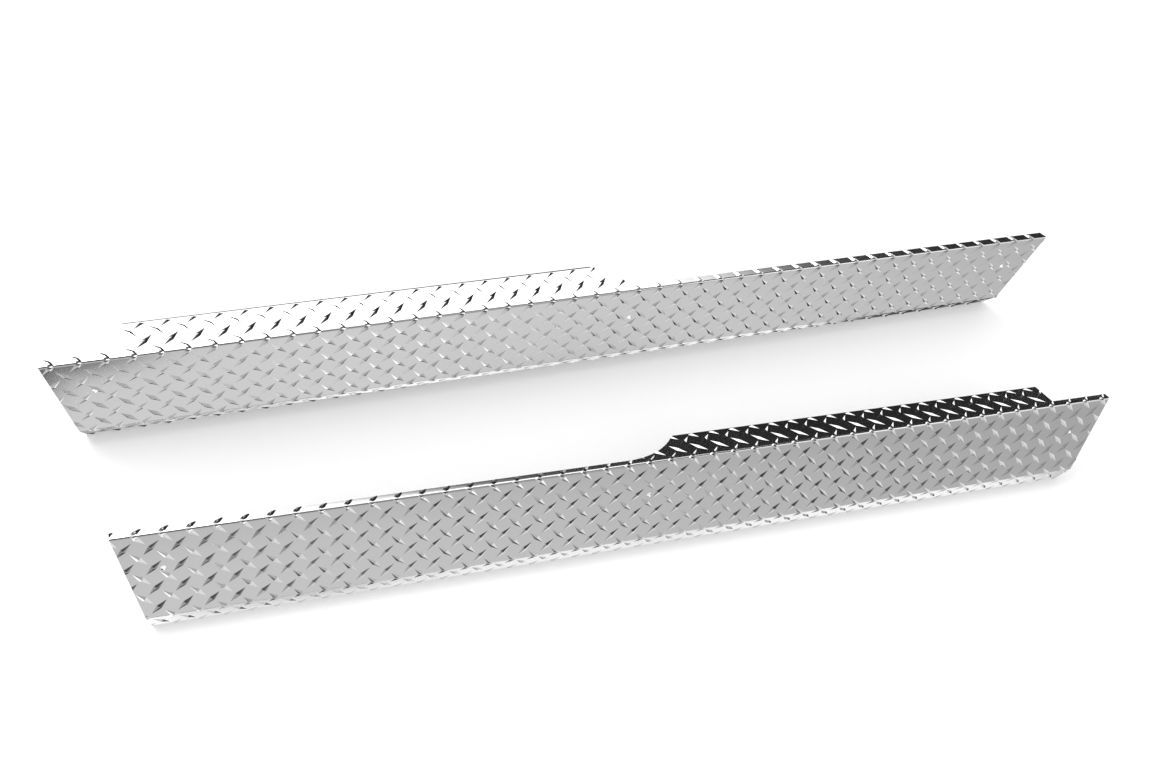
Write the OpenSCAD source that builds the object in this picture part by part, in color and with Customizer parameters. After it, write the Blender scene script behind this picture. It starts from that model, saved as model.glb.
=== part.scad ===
// Pair of running boards for a small vehicle, one for each side.
// Each board is a single folded sheet of aluminium tread plate: a tapered face,
// a narrow top ledge that widens into a deck with a turned-down lip, and a foot
// flange that turns back under the face.
//
// A board is drawn upright with X along it, Y going back from its outer face and
// Z up from its lower fold. The pair then stands on its foot flanges at Z = 0,
// leaning back, with the origin in the middle of the floor that the pair covers.

/* [Face] */
// Length of the face along its upper fold
board_length = 1176; // [1000:1:1500]
// Height of the face from its lower fold to the top of the ledge
face_height = 106; // [90:1:160]
// How far each end of the face steps in between its top and its lower fold
end_taper = 22.5; // [0:0.5:60]
// Thickness of the plain sheet between the lugs
sheet = 1.6; // [1:0.1:3]
// Inside radius of the folds along the face
fold_radius = 1; // [0.5:0.1:3]

/* [Ledge and deck] */
// Depth of the narrow ledge that runs the whole length
ledge_depth = 9; // [8:0.5:20]
// Depth of the wide deck
deck_depth = 47; // [35:1:90]
// Plain ledge between the end of the board and the deck
deck_inset = 80; // [20:1:150]
// Length of the deck along its lip
deck_length = 495; // [200:1:600]
// Length of the curve that brings the deck's edge back to the ledge
runout_length = 68; // [40:1:120]
// How far the lip behind the deck turns down
lip_drop = 15; // [10:1:40]
// Inside radius of the lip's fold
lip_radius = 4; // [1:0.5:6]

/* [Foot flange] */
// Length of the foot flange from the lower fold
foot_length = 25; // [10:1:50]
// Angle that the foot flange turns back from the face
foot_angle = 30; // [10:1:60]

/* [Screw holes] */
// Diameter of the plain screw holes
hole_diameter = 5.5; // [4:0.1:9]
// Distance of the holes below the top of the ledge
hole_drop = 44.5; // [20:0.5:65]
// Distance of the end holes from the ends of the upper fold
end_hole_inset = 45.5; // [30:0.5:90]
// Distance of the middle hole from the deck's end of the board
middle_hole_inset = 617; // [400:1:700]

/* [Tread] */
// Spacing of equal lugs, along the sheet and across it
tread_pitch = 25.4; // [20:0.1:40]
// Length of a lug
lug_length = 23; // [15:0.5:30]
// Width of a lug at its middle
lug_width = 6; // [3:0.5:9]
// Height of a lug above the sheet
lug_height = 1; // [0.5:0.1:2]
// First column of lugs, from the deck's end of the board
tread_start = 9; // [0:0.1:25]
// First row of lugs, from the upper fold
tread_drop = 4.3; // [0:0.1:12]

/* [Layout of the pair] */
// How far the front board leans back
front_lean = 44; // [0:1:55]
// How far the rear board leans back
rear_lean = 25; // [0:1:55]
// Turn of the rear board on the floor
rear_turn = 2; // [-5:0.5:5]
// Distance between the foot of the front board and the foot of the rear one
foot_spacing = 226; // [200:1:400]
// How far the rear board sits to the left of the front one
side_shift = 44; // [0:1:100]

/* [Hidden] */
$fn = 64;

half_length = board_length / 2;
fold_outer = fold_radius + sheet;
lip_outer = lip_radius + sheet;
// Length that the lower fold takes from the face and from the foot flange
foot_tangent = fold_outer * tan(foot_angle / 2);
lug_radius = (lug_length * lug_length + lug_width * lug_width) / (4 * lug_width);
// Depth that lugs and joined plates reach into each other so that they fuse
bite = 0.2;
// Plain strip between the tread and each fold or edge
margin = 0.4;
// Spare length of a cutter beyond the sheet on each side
clear = 5;

deck_end = half_length - deck_inset;
deck_start = deck_end - deck_length;
runout_start = deck_start - runout_length;
runout_depth = deck_depth - ledge_depth;
runout_radius = (runout_length * runout_length + runout_depth * runout_depth) / (2 * runout_depth);

tread_columns = ceil(board_length / tread_pitch);

// The two corners of the foot flange's free edge, as [depth, height]
foot_tip = foot_length * [sin(foot_angle), -cos(foot_angle)];
foot_tip_inner = foot_tip + sheet * [cos(foot_angle), sin(foot_angle)];
deck_corner = [deck_depth, face_height];

// A [depth, height] point of the section after the board leans back
function leaned(point, lean) = [
    point[0] * cos(lean) + point[1] * sin(lean),
    point[1] * cos(lean) - point[0] * sin(lean)
];
// Height of the lowest point of a leaning board below its lower fold
function sole(lean) = min(leaned(foot_tip, lean)[1], leaned(foot_tip_inner, lean)[1]);
// Depth that a leaning board covers behind its foot
function reach(lean) = leaned(deck_corner, lean)[0] - leaned(foot_tip, lean)[0];

front_y = -(foot_spacing + reach(rear_lean)) / 2;

// A sector of a fold about its own centre, from one angle over a sweep
module fold_section(outer, from, sweep) {
    intersection() {
        difference() {
            circle(outer);
            circle(outer - sheet);
        }
        polygon([
            [0, 0],
            2 * outer * [cos(from), sin(from)],
            2 * outer * [cos(from + sweep / 2), sin(from + sweep / 2)],
            2 * outer * [cos(from + sweep), sin(from + sweep)]
        ]);
    }
}

// A small core inside the sheet across the seam of a flat and a fold, so that
// the two fuse
module seam_core() {
    square(sheet / 2, center = true);
}

// Section of the face with both folds, the foot flange and the ledge
module face_section() {
    polygon([
        [0, foot_tangent],
        [sheet, foot_tangent],
        [sheet, face_height - fold_outer],
        [0, face_height - fold_outer]
    ]);
    translate([fold_outer, face_height - fold_outer]) fold_section(fold_outer, 90, 90);
    translate([fold_outer, face_height - sheet]) square([ledge_depth - fold_outer, sheet]);
    translate([fold_outer, foot_tangent]) fold_section(fold_outer, 180, foot_angle);
    rotate(foot_angle) translate([0, -foot_length]) square([sheet, foot_length - foot_tangent]);
    translate([sheet / 2, face_height - fold_outer]) seam_core();
    translate([fold_outer, face_height - sheet / 2]) seam_core();
    translate([sheet / 2, foot_tangent]) seam_core();
    rotate(foot_angle) translate([sheet / 2, -foot_tangent]) seam_core();
}

// Section of the deck from the ledge back to the lip, with the lip's fold
module deck_section() {
    translate([ledge_depth - bite, face_height - sheet])
        square([deck_depth - lip_outer - ledge_depth + bite, sheet]);
    translate([deck_depth - lip_outer, face_height - lip_outer]) fold_section(lip_outer, 0, 90);
    translate([deck_depth - sheet, face_height - lip_drop]) square([sheet, lip_drop - lip_outer]);
    translate([deck_depth - lip_outer, face_height - sheet / 2]) seam_core();
    translate([deck_depth - sheet / 2, face_height - lip_outer]) seam_core();
}

// Draws a [depth, height] section along X between two places
module along(x_from, x_to) {
    translate([x_from, 0, 0]) rotate([90, 0, 90]) linear_extrude(x_to - x_from) children();
}

// Plan of the round cut that brings the deck's edge forward to the ledge
module runout_plan(radius) {
    translate([runout_start, ledge_depth + runout_radius]) circle(radius, $fn = 256);
}

// Deck and lip, trimmed by the run-out from the rear corner to the ledge
module deck() {
    difference() {
        along(runout_start, deck_end) deck_section();
        translate([0, 0, face_height - lip_drop - clear]) linear_extrude(lip_drop + 2 * clear)
            runout_plan(runout_radius);
    }
}

// Outline of the face between two heights, with its tapered ends set in
module face_outline(z_low, z_high, inset = 0) {
    low = half_length - inset - end_taper * (face_height - z_low) / face_height;
    high = half_length - inset - end_taper * (face_height - z_high) / face_height;
    polygon([[-low, z_low], [low, z_low], [high, z_high], [-high, z_high]]);
}

// Outline of the foot flange, which carries on the taper of the face's ends
module foot_outline(near, far, inset = 0) {
    step = end_taper * cos(foot_angle) / face_height;
    near_half = half_length - inset - end_taper - step * near;
    far_half = half_length - inset - end_taper - step * far;
    polygon([[-near_half, near], [near_half, near], [far_half, far], [-far_half, far]]);
}

// One lug: the lens between two arcs
module lug() {
    off = lug_radius - lug_width / 2;
    intersection() {
        translate([0, off]) circle(lug_radius);
        translate([0, -off]) circle(lug_radius);
    }
}

// The tread on a strip of sheet, drawn with Y as the distance from the upper
// fold; rows of lugs that lean one way alternate with rows that lean the other
module tread(from_row, to_row) {
    for (row = [from_row:to_row], column = [0:tread_columns]) {
        x = half_length - tread_start - column * tread_pitch;
        y = tread_drop + row * tread_pitch;
        translate([x, y]) rotate(45) lug();
        translate([x - tread_pitch / 2, y + tread_pitch / 2]) rotate(-45) lug();
    }
}

module face_tread() {
    rotate([90, 0, 0]) translate([0, 0, -bite]) linear_extrude(lug_height + bite) intersection() {
        translate([0, face_height]) mirror([0, 1]) tread(0, floor(face_height / tread_pitch));
        face_outline(foot_tangent + margin, face_height - fold_outer - margin, margin);
    }
}

// The foot's tread mirrors the face's about the lower fold
module foot_tread() {
    first_row = floor((face_height - foot_length) / tread_pitch) - 1;
    last_row = ceil(face_height / tread_pitch);
    rotate([90 + foot_angle, 0, 0]) translate([0, 0, -bite]) linear_extrude(lug_height + bite) intersection() {
        translate([0, -face_height]) tread(first_row, last_row);
        mirror([0, 1]) foot_outline(foot_tangent + margin, foot_length - margin, margin);
    }
}

// The tread of the ledge and the deck mirrors the face's about the upper fold
module deck_tread() {
    front = fold_outer + margin;
    translate([0, 0, face_height - bite]) linear_extrude(lug_height + bite) intersection() {
        tread(-1, floor(deck_depth / tread_pitch));
        union() {
            translate([margin - half_length, front])
                square([board_length - 2 * margin, ledge_depth - margin - front]);
            difference() {
                translate([runout_start, front])
                    square([deck_end - margin - runout_start, deck_depth - lip_outer - margin - front]);
                runout_plan(runout_radius + margin);
            }
        }
    }
}

module screw_hole(x) {
    translate([x, 0, face_height - hole_drop]) rotate([90, 0, 0])
        cylinder(d = hole_diameter, h = 2 * clear, center = true);
}

// One board, upright, with its deck towards +X
module board() {
    difference() {
        union() {
            intersection() {
                along(-half_length, half_length) face_section();
                rotate([90, 0, 0]) linear_extrude(2 * face_height, center = true)
                    face_outline(-foot_length, face_height);
            }
            deck();
            face_tread();
            foot_tread();
            deck_tread();
        }
        screw_hole(half_length - end_hole_inset);
        screw_hole(half_length - middle_hole_inset);
        screw_hole(end_hole_inset - half_length);
    }
}

// Stands a board on the free edge of its foot flange
module stand(lean) {
    translate([0, -leaned(foot_tip, lean)[0], -sole(lean)]) rotate([-lean, 0, 0]) children();
}

module front_board() {
    color("silver") translate([side_shift / 2, front_y, 0]) stand(front_lean) board();
}

module rear_board() {
    color("lightgray") translate([-side_shift / 2, front_y + foot_spacing, 0]) rotate([0, 0, rear_turn])
        stand(rear_lean) mirror([1, 0, 0]) board();
}

front_board();
rear_board();
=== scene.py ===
import math

import bmesh
import bpy
from mathutils import Matrix, Vector


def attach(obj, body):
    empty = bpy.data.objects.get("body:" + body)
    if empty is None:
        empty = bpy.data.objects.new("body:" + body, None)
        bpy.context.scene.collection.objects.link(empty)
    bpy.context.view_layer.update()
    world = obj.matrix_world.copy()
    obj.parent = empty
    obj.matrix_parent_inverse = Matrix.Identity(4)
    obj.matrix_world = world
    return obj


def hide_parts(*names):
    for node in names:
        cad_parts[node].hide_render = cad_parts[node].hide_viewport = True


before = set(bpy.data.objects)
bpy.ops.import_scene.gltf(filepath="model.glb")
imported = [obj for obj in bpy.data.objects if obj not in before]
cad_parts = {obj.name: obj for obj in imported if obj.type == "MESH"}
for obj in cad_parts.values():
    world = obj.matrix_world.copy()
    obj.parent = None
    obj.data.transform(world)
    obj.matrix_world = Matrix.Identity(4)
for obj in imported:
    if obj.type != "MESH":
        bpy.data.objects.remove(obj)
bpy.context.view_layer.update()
mm = 0.001
levelWithin = 1e-6  # mm, for telling the blank's flat edges from its upright ones
scoreWithin = 1e-5  # mm, for cutting along a fold

# the folded sheet, in mm: x runs along it, v goes round it from the upper fold,
# down the face and foot as plus and back over the ledge, deck and lip as minus
sheet = {
    "length": 1176, "faceHeight": 106, "endTaper": 22.5, "thickness": 1.6, "foldRadius": 1.0,
    "ledgeDepth": 9, "deckDepth": 47, "deckInset": 80, "deckLength": 495, "runoutLength": 68,
    "lipDrop": 15, "lipRadius": 4.0, "footLength": 25, "footAngle": 30,
    "foldSteps": 10, "runoutSteps": 24, "edgeBreak": 0.15,
    "crispFrom": 12,  # degrees between two faces from which their edge stays crisp
}

# the raised pattern, rolled into the sheet
tread = {
    "pitch": 25.4, "length": 23.0, "width": 6.0, "height": 1.42, "slant": 45,
    "start": 9.0, "drop": 4.3,  # from the sheet's end and its upper fold to the first lug
    "plain": 0.4,  # the margin without lugs along every edge
    "rings": [(0.15, -0.1), (-2.6, 1.36)],  # (outside the outline, height) of a lug's foot and shoulder
    "firstRow": -1, "topRows": 2, "footRows": 3,
    "trimReach": 3,  # how far the cutter that trims the lugs reaches above and below the sheet
}

# three plain holes for the screws that hold a board to the sill
screwHoles = {"diameter": 5.5, "drop": 44.5, "endInset": 45.5, "middleInset": 617,
              "steps": 32, "pinLength": 20}

# how the pair stands on the floor: angles in degrees, places in mm
boards = {
    "front_board": {"lean": 44, "turn": 0, "mirrored": False, "shift": 22, "foot": 0},
    "rear_board": {"lean": 25, "turn": 2, "mirrored": True, "shift": -22, "foot": 226},
}

halfLength = sheet["length"] / 2
foldOuter = sheet["foldRadius"] + sheet["thickness"]
lipOuter = sheet["lipRadius"] + sheet["thickness"]
footTurn = math.radians(sheet["footAngle"])
footTangent = foldOuter * math.tan(footTurn / 2)
faceHeight = sheet["faceHeight"]
deckDepth = sheet["deckDepth"]
deckEnd = halfLength - sheet["deckInset"]
deckStart = deckEnd - sheet["deckLength"]
runoutStart = deckStart - sheet["runoutLength"]


def endOf(v):
    # half the length of the sheet at v: the ends taper in from the upper fold down
    if v <= 0:
        return halfLength
    down = v if v <= faceHeight else faceHeight + (v - faceHeight) * math.cos(footTurn)
    return halfLength - sheet["endTaper"] * down / faceHeight


def runoutArc(grow=0):
    # the round cut from the ledge back to the deck's rear corner, as points
    rise = deckDepth - sheet["ledgeDepth"]
    radius = (sheet["runoutLength"] ** 2 + rise ** 2) / (2 * rise)
    sweep = math.asin(sheet["runoutLength"] / radius)
    points = []
    for i in range(sheet["runoutSteps"] + 1):
        a = sweep * i / sheet["runoutSteps"]
        r = radius + grow
        back = sheet["ledgeDepth"] + radius - r * math.cos(a)
        points.append((runoutStart + r * math.sin(a), -back))
    return points


def blankOutline():
    # the flat sheet before it is folded, from its lower right corner round to its lower left
    bottom = faceHeight + sheet["footLength"]
    rear = -(deckDepth + sheet["lipDrop"])
    ledge = -sheet["ledgeDepth"]
    right = [(endOf(v), v) for v in (bottom, faceHeight, 0, ledge)]
    deck = [(deckEnd, ledge), (deckEnd, rear), (deckStart, rear)] + runoutArc()[::-1]
    left = [(-endOf(v), v) for v in (ledge, 0, faceHeight, bottom)]
    return right + deck + left


def prism(outline, low, high):
    # a closed solid over a flat outline
    bm = bmesh.new()
    face = bm.faces.new([bm.verts.new((x, v, low)) for x, v in outline])
    grown = bmesh.ops.extrude_face_region(bm, geom=[face])["geom"]
    top = [g for g in grown if isinstance(g, bmesh.types.BMVert)]
    bmesh.ops.translate(bm, verts=top, vec=(0, 0, high - low))
    bmesh.ops.recalc_face_normals(bm, faces=bm.faces)
    return bm


def holePins():
    # the three cutters for the screw holes, as one mesh
    bm = bmesh.new()
    radius = screwHoles["diameter"] / 2
    for x in (halfLength - screwHoles["endInset"], halfLength - screwHoles["middleInset"],
              screwHoles["endInset"] - halfLength):
        bmesh.ops.create_cone(bm, cap_ends=True, segments=screwHoles["steps"],
                              radius1=radius, radius2=radius, depth=screwHoles["pinLength"],
                              matrix=Matrix.Translation((x, screwHoles["drop"], 0)))
    return bm


def combine(bm, operation, cutter):
    # bm with the cutter taken away from it, or cut down to the cutter
    pair = []
    for part in (bm, cutter):
        mesh = bpy.data.meshes.new("work")
        part.to_mesh(mesh)
        part.free()
        pair.append(bpy.data.objects.new("work", mesh))
        bpy.context.scene.collection.objects.link(pair[-1])
    cut = pair[0].modifiers.new("cut", "BOOLEAN")
    cut.operation, cut.solver, cut.object = operation, "MANIFOLD", pair[1]
    bpy.context.view_layer.update()
    result = bmesh.new()
    result.from_object(pair[0], bpy.context.evaluated_depsgraph_get())
    for part in pair:
        bpy.data.meshes.remove(part.data)
    return result


def lugOutline(outside):
    # the long lozenge of a lug, moved out all round
    half, wide = tread["length"] / 2, tread["width"] / 2
    slant = math.atan2(wide, half)
    half, wide = half + outside / math.sin(slant), wide + outside / math.cos(slant)
    return [(-half, 0), (0, wide), (half, 0), (0, -wide)]


def lug():
    # one lug: a long lozenge whose four sloping sides meet in a ridge over its middle
    bm = bmesh.new()
    ring = None
    for outside, height in tread["rings"]:
        verts = [bm.verts.new((x, y, height)) for x, y in lugOutline(outside)]
        edges = [bm.edges.new((verts[i - 1], verts[i])) for i in range(len(verts))]
        if ring:
            bmesh.ops.bridge_loops(bm, edges=ring + edges)
        else:
            bm.faces.new(verts)
        ring = edges
    top = bm.faces.new(verts)
    crown = bmesh.ops.poke(bm, faces=[top])["verts"]
    bmesh.ops.translate(bm, verts=crown, vec=(0, 0, tread["height"] - tread["rings"][-1][1]))
    bmesh.ops.recalc_face_normals(bm, faces=bm.faces)
    mesh = bpy.data.meshes.new("lug")
    bm.to_mesh(mesh)
    bm.free()
    return mesh


def treadField(lugMesh, lowRow, highRow):
    # the whole pattern: rows that lean one way between rows that lean the other
    bm = bmesh.new()
    columns = math.ceil(sheet["length"] / tread["pitch"]) + 1
    for row in range(lowRow, highRow + 1):
        for column in range(columns):
            for step, slant in ((0, tread["slant"]), (0.5, -tread["slant"])):
                x = halfLength - tread["start"] - (column + step) * tread["pitch"]
                v = tread["drop"] + (row + step) * tread["pitch"]
                turn = Matrix.Rotation(math.radians(slant), 4, "Z")
                placed = lugMesh.copy()
                placed.transform(Matrix.Translation((x, v, 0)) @ turn)
                bm.from_mesh(placed)
                bpy.data.meshes.remove(placed)
    return bm


def flipped(bm, about):
    # the pattern mirrored over a fold
    bmesh.ops.transform(bm, verts=bm.verts, matrix=Matrix.Translation((0, 2 * about, 0))
                        @ Matrix.Diagonal((1, -1, 1, 1)))
    bmesh.ops.reverse_faces(bm, faces=bm.faces)
    return bm


def lugsOnSheet():
    # the pattern trimmed to the face, the foot and the top, each mirrored over its fold
    plain = tread["plain"]
    mesh = lug()
    bottom = faceHeight + sheet["footLength"] - plain
    rear = -(deckDepth - lipOuter - plain)
    ledge = -(sheet["ledgeDepth"] - plain)
    face = [(endOf(v) - plain, v) for v in (faceHeight, 0)]
    face += [(plain - endOf(v), v) for v in (0, faceHeight)]
    foot = [(endOf(v) - plain, v) for v in (bottom, faceHeight)]
    foot += [(plain - endOf(v), v) for v in (faceHeight, bottom)]
    arc = [(x, v) for x, v in runoutArc(plain) if v > rear and v < ledge]
    top = [(halfLength - plain, 0), (halfLength - plain, ledge)]
    top += [(deckEnd - plain, ledge), (deckEnd - plain, rear)]
    top += [(arc[-1][0], rear)] + arc[::-1] + [(runoutStart, ledge)]
    top += [(plain - halfLength, ledge), (plain - halfLength, 0)]
    first, reach = tread["firstRow"], tread["trimReach"]
    rows = math.ceil((faceHeight + sheet["footLength"]) / tread["pitch"])
    areas = [
        (treadField(mesh, first, rows), face),
        (flipped(treadField(mesh, rows - tread["footRows"], rows), faceHeight), foot),
        (flipped(treadField(mesh, first, tread["topRows"]), 0), top),
    ]
    onFace, onFoot, onTop = [combine(field, "INTERSECT", prism(area, -reach, reach))
                             for field, area in areas]
    return [combine(onFace, "DIFFERENCE", holePins()), onFoot, onTop]


def onFold(x, centre, start, sweep, share, radius):
    # a point on a round fold, turned about the fold's centre
    a = start + sweep * share
    return Vector((x, centre[0] + radius * math.cos(a), centre[1] + radius * math.sin(a)))


def folded(point):
    # where a point of the flat blank lies on the folded board, with its lower fold at z = 0
    x, v, h = point
    down, back = v - faceHeight, -v
    if down >= footTangent:
        return Vector((x, down * math.sin(footTurn) - h * math.cos(footTurn),
                       -down * math.cos(footTurn) - h * math.sin(footTurn)))
    if down > -footTangent:
        share = (down + footTangent) / (2 * footTangent)
        return onFold(x, (foldOuter, footTangent), math.pi, footTurn, share, foldOuter + h)
    if v >= foldOuter:
        return Vector((x, -h, faceHeight - v))
    if v > -foldOuter:
        share = (foldOuter - v) / (2 * foldOuter)
        return onFold(x, (foldOuter, faceHeight - foldOuter), math.pi, -math.pi / 2, share, foldOuter + h)
    if back <= deckDepth - lipOuter:
        return Vector((x, back, faceHeight + h))
    if back < deckDepth + lipOuter:
        share = (back - deckDepth + lipOuter) / (2 * lipOuter)
        return onFold(x, (deckDepth - lipOuter, faceHeight - lipOuter), math.pi / 2, -math.pi / 2,
                      share, lipOuter + h)
    return Vector((x, deckDepth + h, faceHeight - (back - deckDepth)))


def scoreFolds(bm):
    # lines across the blank where it bends, so that each fold comes out round
    zones = [(-foldOuter, foldOuter), (faceHeight - footTangent, faceHeight + footTangent),
             (-deckDepth - lipOuter, -deckDepth + lipOuter)]
    for low, high in zones:
        for i in range(sheet["foldSteps"] + 1):
            v = low + (high - low) * i / sheet["foldSteps"]
            bmesh.ops.bisect_plane(bm, geom=bm.verts[:] + bm.edges[:] + bm.faces[:],
                                   dist=scoreWithin, plane_co=(0, v, 0), plane_no=(0, 1, 0))


def foldedBoard():
    # one board, upright, with its deck towards +X, in mm
    blank = prism(blankOutline(), -sheet["thickness"], 0)
    rims = [e for e in blank.edges if abs(e.verts[0].co.z - e.verts[1].co.z) < levelWithin]
    bmesh.ops.bevel(blank, geom=rims, offset=sheet["edgeBreak"], segments=1, profile=0.5,
                    affect="EDGES", material=-1)
    blank = combine(blank, "DIFFERENCE", holePins())
    whole = bmesh.new()
    for part in [blank] + lugsOnSheet():
        mesh = bpy.data.meshes.new("part")
        part.to_mesh(mesh)
        part.free()
        whole.from_mesh(mesh)
        bpy.data.meshes.remove(mesh)
    scoreFolds(whole)
    for vert in whole.verts:
        vert.co = folded(vert.co)
    return whole


def footOf(lean):
    # depth of the foot's edge and height of the lowest corner once a board leans back
    tip = Vector((0, math.sin(footTurn), -math.cos(footTurn))) * sheet["footLength"]
    inner = tip + Vector((0, math.cos(footTurn), math.sin(footTurn))) * sheet["thickness"]
    turn = Matrix.Rotation(-lean, 3, "X")
    return (turn @ tip).y, min((turn @ tip).z, (turn @ inner).z)


def reachOf(lean):
    # how far back of the foot's edge the deck's rear corner comes once a board leans back
    corner = Matrix.Rotation(-lean, 3, "X") @ Vector((0, deckDepth, faceHeight))
    return corner.y - footOf(lean)[0]


def placeOf(plan):
    # an upright board's place on the floor, from mm to m, with the pair centred front to back
    lean = math.radians(plan["lean"])
    footDepth, low = footOf(lean)
    rear = boards["rear_board"]
    frontFoot = -(rear["foot"] + reachOf(math.radians(rear["lean"]))) / 2
    place = Matrix.Translation((plan["shift"], frontFoot + plan["foot"], 0))
    place @= Matrix.Rotation(math.radians(plan["turn"]), 4, "Z")
    place @= Matrix.Translation((0, -footDepth, -low)) @ Matrix.Rotation(-lean, 4, "X")
    if plan["mirrored"]:
        place @= Matrix.Diagonal((-1, 1, 1, 1))
    return Matrix.Diagonal((mm, mm, mm, 1)) @ place


def makeBoard(name, plan, material):
    crisp = math.radians(sheet["crispFrom"])
    bm = foldedBoard()
    bmesh.ops.transform(bm, verts=bm.verts, matrix=placeOf(plan))
    if plan["mirrored"]:
        bmesh.ops.reverse_faces(bm, faces=bm.faces)
    for face in bm.faces:
        face.smooth = True
    for edge in bm.edges:
        edge.smooth = len(edge.link_faces) == 2 and edge.calc_face_angle(0) < crisp
    mesh = bpy.data.meshes.new(name)
    bm.to_mesh(mesh)
    bm.free()
    mesh.materials.append(material)
    board = bpy.data.objects.new(name + "_sheet", mesh)
    bpy.context.scene.collection.objects.link(board)
    board.visible_glossy = False  # the boards mirror the cards only, not themselves
    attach(board, "root")
    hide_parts(name)
    print(name, "made with", len(mesh.polygons), "faces")


def linear(hexColour):
    # sRGB hex to the linear values that the nodes take
    parts = [int(hexColour[i:i + 2], 16) / 255 for i in (1, 3, 5)]
    return [c / 12.92 if c <= 0.04045 else ((c + 0.055) / 1.055) ** 2.4 for c in parts] + [1]


def addNode(tree, kind, settings=None, **links):
    # a node with its settings, and its inputs either linked or set, by name or as i0, i1 and so on
    node = tree.nodes.new(kind)
    for key, value in (settings or {}).items():
        setattr(node, key, value)
    for key, value in links.items():
        numbered = key[0] == "i" and key[1:].isdigit()
        socket = node.inputs[int(key[1:]) if numbered else key]
        if isinstance(value, bpy.types.NodeSocket):
            tree.links.new(value, socket)
        else:
            socket.default_value = value
    return node


# rolled aluminium tread plate, bright as it leaves the mill: a mirror blurred a little by rolling,
# sizes in mm (real rolling lines are finer: these are as coarse as they need to be to show)
brightPlate = {
    "colour": "#e5e5e5", "roughness": 0.13,
    "grainLength": 14.0, "grainWidth": 0.5, "grainDepth": 0.012, "grainRoughness": 0.04,
    "grainDetail": 3.0, "grainFine": 0.6,
    "cloudSize": 60.0, "cloudRoughness": 0.04, "cloudDetail": 2.0,
}


def treadPlateAluminium():
    along, across = 1 / (brightPlate["grainLength"] * mm), 1 / (brightPlate["grainWidth"] * mm)
    smoothest = brightPlate["roughness"] - brightPlate["grainRoughness"] / 2
    material = bpy.data.materials.new("rolledTreadPlateAluminium")
    material.use_nodes = True
    tree = material.node_tree
    shader = tree.nodes["Principled BSDF"]
    place = addNode(tree, "ShaderNodeTexCoord").outputs["Object"]
    lines = addNode(tree, "ShaderNodeMapping", Vector=place, Scale=(along, across, across))
    grain = addNode(tree, "ShaderNodeTexNoise", Vector=lines.outputs[0], Scale=1.0,
                    Detail=brightPlate["grainDetail"], Roughness=brightPlate["grainFine"])
    cloud = addNode(tree, "ShaderNodeTexNoise", Vector=place,
                    Scale=1 / (brightPlate["cloudSize"] * mm), Detail=brightPlate["cloudDetail"])
    fine = addNode(tree, "ShaderNodeMath", {"operation": "MULTIPLY_ADD"},
                   i0=grain.outputs[0], i1=brightPlate["grainRoughness"], i2=smoothest)
    rough = addNode(tree, "ShaderNodeMath", {"operation": "MULTIPLY_ADD"},
                    i0=cloud.outputs[0], i1=brightPlate["cloudRoughness"], i2=fine.outputs[0])
    bump = addNode(tree, "ShaderNodeBump", Height=grain.outputs[0], Strength=1.0,
                   Distance=brightPlate["grainDepth"] * mm)
    shader.inputs["Base Color"].default_value = linear(brightPlate["colour"])
    shader.inputs["Metallic"].default_value = 1.0
    tree.links.new(rough.outputs[0], shader.inputs["Roughness"])
    tree.links.new(bump.outputs[0], shader.inputs["Normal"])
    return material


# the floor, the lamp and the fill, in m and W, and the cards and flags round the plate that are
# seen only in its reflections: where each one hangs as (azimuth, elevation), how far it reaches
# with its soft edge in degrees, and its brightness, each one over those before it
studio = {
    "floor": "#ffffff", "floorSize": 12.0, "floorRoughness": 0.9,
    "lamp": {"spot": (-1.2, 1.6, 2.2), "aim": (0, 0, 0), "side": 1.6, "power": 45},
    "fill": 0.95, "backdrop": 1.0, "room": 0.42,
    "cards": [
        ((-170, -35), (40, 60), 0.8),
        ((108, 5), (22, 10), 0.9),
        ((138, 24), (12, 6), 0.95),
        ((122, 50), (10, 4), 1.8),
        ((122, 15), (6, 4), 1.4),
        ((-128, 24), (8, 4), 0.05),
        ((-143, 38), (9, 4), 0.05),
        ((-126, 52), (9, 4), 0.05),
        ((-165, 64), (18, 6), 0.05),
        ((103, -45), (15, 6), 0.04),
        ((-140, -42), (13, 4), 2.0),
        ((-168, -57), (6, 3), 1.6),
        ((160, -60), (12, 4), 1.15),
        ((133, -47), (9, 4), 1.15),
        ((95, -75), (16, 4), 1.15),
        ((-143, -67), (9, 3), 0.05),
        ((172, -76), (9, 3), 0.05),
        ((128, -65), (9, 3), 0.05),
        ((173, -46), (9, 3), 0.02),
        ((155, -38), (8, 3), 0.02),
        ((-160, -32), (8, 3), 0.02),
        ((-169, -26), (4, 2), 0.03),
        ((-177, -17), (5, 1.5), 0.03),
        ((40, 0), (52, 6), 0.02),
        ((79, 48), (12, 4), 0.05),
        ((-8, -38), (14, 6), 0.06),
        ((66, -14), (20, 4), 1.6),
        ((-30, 30), (50, 8), 1.8),
        ((-26, -25), (9, 3), 0.06),
        ((48, 60), (12, 4), 0.05),
    ],
}


def makeFloor():
    bm = bmesh.new()
    bmesh.ops.create_grid(bm, x_segments=1, y_segments=1, size=studio["floorSize"] / 2)
    mesh = bpy.data.meshes.new("floor")
    bm.to_mesh(mesh)
    bm.free()
    floor = bpy.data.objects.new("floor", mesh)
    bpy.context.scene.collection.objects.link(floor)
    floor.visible_glossy = False
    material = bpy.data.materials.new("paleStudioFloor")
    material.use_nodes = True
    tree = material.node_tree
    shader = tree.nodes["Principled BSDF"]
    shader.inputs["Base Color"].default_value = linear(studio["floor"])
    shader.inputs["Roughness"].default_value = studio["floorRoughness"]
    shader.inputs["Specular IOR Level"].default_value = 0.0
    mesh.materials.append(material)


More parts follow.
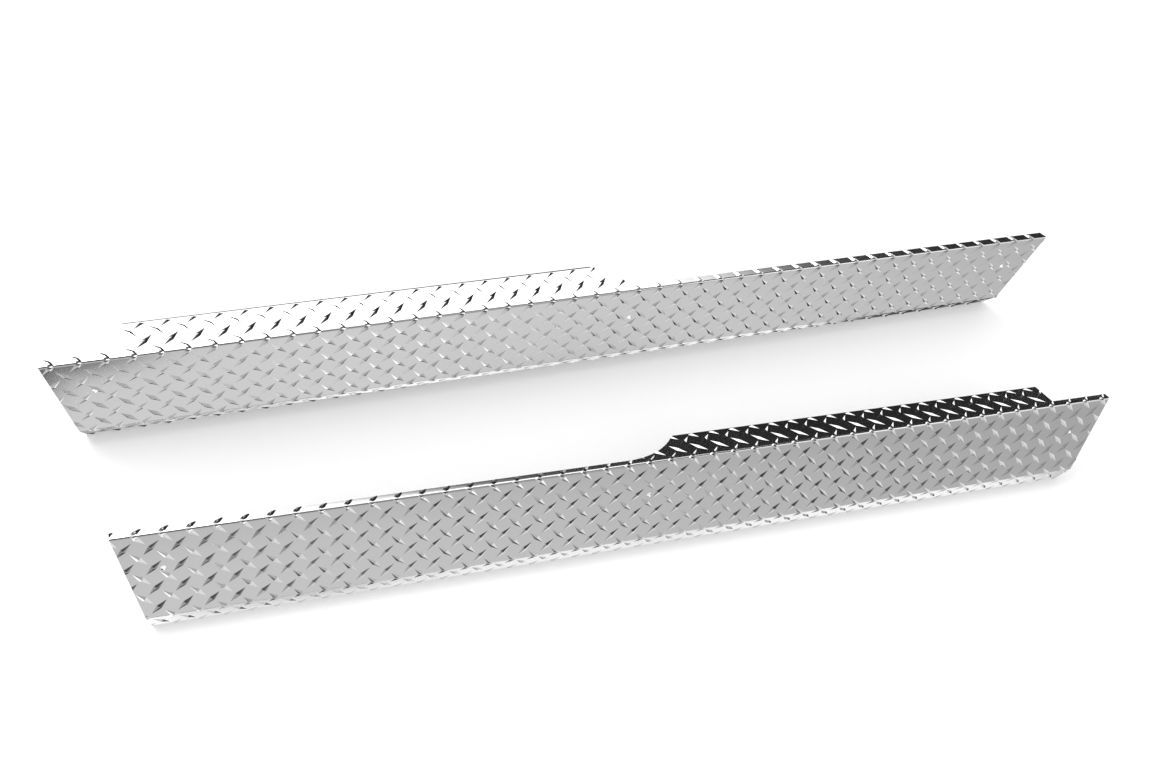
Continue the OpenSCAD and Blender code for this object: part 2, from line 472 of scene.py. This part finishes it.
def direction(azimuth, elevation):
    # a unit vector: azimuth 0 is +Y, 90 is +X
    a, e = math.radians(azimuth), math.radians(elevation)
    return (math.sin(a) * math.cos(e), math.cos(a) * math.cos(e), math.sin(e))


def makeSky():
    # the camera sees a white backdrop, the floor is lit by the fill, and metal mirrors the cards
    world = bpy.data.worlds.new("studio")
    world.use_nodes = True
    bpy.context.scene.world = world
    tree = world.node_tree
    tree.nodes.clear()
    way = addNode(tree, "ShaderNodeTexCoord").outputs["Generated"]
    tone = studio["room"]
    for (azimuth, elevation), (reach, edge), brightness in studio["cards"]:
        outer, inner = math.radians(reach + edge / 2), math.radians(reach - edge / 2)
        near = addNode(tree, "ShaderNodeVectorMath", {"operation": "DOT_PRODUCT"},
                       i0=way, i1=direction(azimuth, elevation))
        card = addNode(tree, "ShaderNodeMapRange", {"interpolation_type": "SMOOTHSTEP"},
                       i0=near.outputs["Value"], i1=math.cos(outer), i2=math.cos(inner))
        tone = addNode(tree, "ShaderNodeMix", i0=card.outputs[0], i2=tone, i3=brightness).outputs[0]
    white = (1, 1, 1, 1)
    rays = addNode(tree, "ShaderNodeLightPath")
    fill = addNode(tree, "ShaderNodeBackground", Color=white, Strength=studio["fill"])
    cards = addNode(tree, "ShaderNodeBackground", Color=white, Strength=tone)
    backdrop = addNode(tree, "ShaderNodeBackground", Color=white, Strength=studio["backdrop"])
    lit = addNode(tree, "ShaderNodeMixShader", i0=rays.outputs["Is Glossy Ray"],
                  i1=fill.outputs[0], i2=cards.outputs[0])
    seen = addNode(tree, "ShaderNodeMixShader", i0=rays.outputs["Is Camera Ray"],
                   i1=lit.outputs[0], i2=backdrop.outputs[0])
    addNode(tree, "ShaderNodeOutputWorld", Surface=seen.outputs[0])


def makeLamp():
    plan = studio["lamp"]
    lamp = bpy.data.lights.new("softbox", "AREA")
    lamp.shape, lamp.size, lamp.size_y = "RECTANGLE", plan["side"], plan["side"]
    lamp.energy = plan["power"]
    holder = bpy.data.objects.new("softbox", lamp)
    holder.location = plan["spot"]
    ahead = Vector(plan["aim"]) - Vector(plan["spot"])
    holder.rotation_euler = ahead.to_track_quat("-Z", "Y").to_euler()
    bpy.context.scene.collection.objects.link(holder)


# where the camera stands in m, which way it looks, which way is right for it, and its lens in mm
view = {
    "spot": (-0.4941, -0.2485, 1.3379), "ahead": (0.31373, 0.20067, -0.92806),
    "right": (0.94298, -0.18026, 0.2798), "lens": 38.13, "sensor": 36, "clip": (0.05, 50),
}


def makeCamera():
    camera = bpy.data.cameras.new("camera")
    camera.lens, camera.sensor_width = view["lens"], view["sensor"]
    camera.clip_start, camera.clip_end = view["clip"]
    holder = bpy.data.objects.new("camera", camera)
    ahead, right = Vector(view["ahead"]).normalized(), Vector(view["right"]).normalized()
    up = right.cross(ahead)
    turn = Matrix((right, up, -ahead)).transposed().to_4x4()
    holder.matrix_world = Matrix.Translation(view["spot"]) @ turn
    bpy.context.scene.collection.objects.link(holder)
    bpy.context.scene.camera = holder


plate = treadPlateAluminium()
for name, plan in boards.items():
    makeBoard(name, plan, plate)
makeFloor()
makeSky()
makeLamp()
makeCamera()
bpy.context.scene.view_settings.view_transform = "Standard"
print("studio and camera made")
